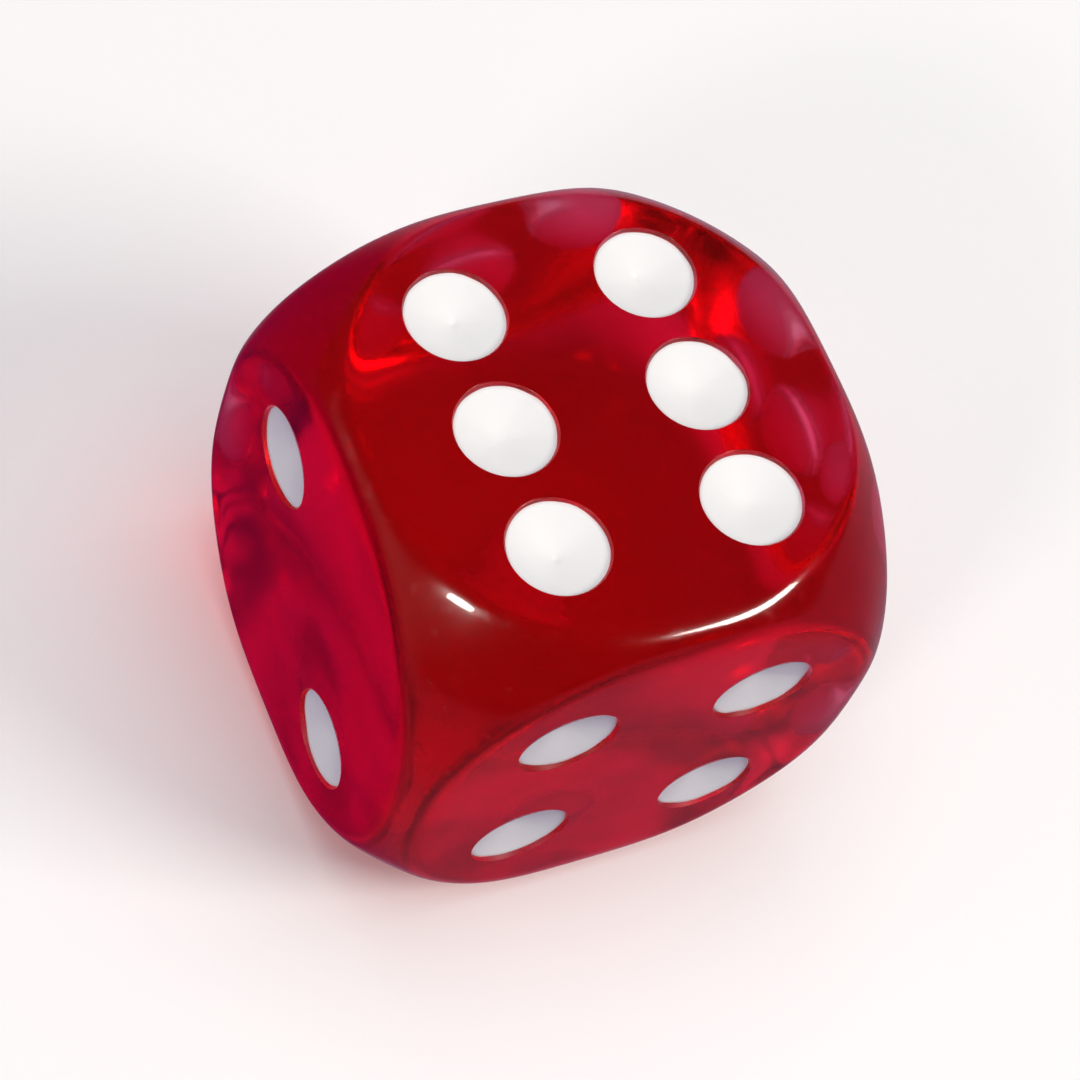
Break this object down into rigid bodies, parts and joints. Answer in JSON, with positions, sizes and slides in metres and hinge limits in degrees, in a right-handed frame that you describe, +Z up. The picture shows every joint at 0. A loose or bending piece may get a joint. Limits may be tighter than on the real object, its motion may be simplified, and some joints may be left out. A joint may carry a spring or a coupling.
{
  "type": "casino die",
  "caption": "Translucent red cube die with ball-rounded corners, polished flats and dished pips lined with white paint, thrown to give a random number in table games.",
  "frame": {"origin": "middle of the foot, on the flat of the one that the die rests on", "axes": "+Z up through the flat of the six, -Y out of the flat of the four, -X out of the flat of the two"},
  "size_m": [0.016, 0.016, 0.016],
  "materials": {
    "red_acrylic": "polished, translucent",
    "pip_paint": "satin paint"
  },
  "bodies": {
    "root": {"die_body": "red_acrylic", "pip_1_a": "pip_paint", "pip_2_a": "pip_paint", "pip_2_b": "pip_paint", "pip_3_a": "pip_paint", "pip_3_b": "pip_paint", "pip_3_c": "pip_paint", "pip_4_a": "pip_paint", "pip_4_b": "pip_paint", "pip_4_c": "pip_paint", "pip_4_d": "pip_paint", "pip_5_a": "pip_paint", "pip_5_b": "pip_paint", "pip_5_c": "pip_paint", "pip_5_d": "pip_paint", "pip_5_e": "pip_paint", "pip_6_a": "pip_paint", "pip_6_b": "pip_paint", "pip_6_c": "pip_paint", "pip_6_d": "pip_paint", "pip_6_e": "pip_paint", "pip_6_f": "pip_paint"}
  },
  "joints": []
}
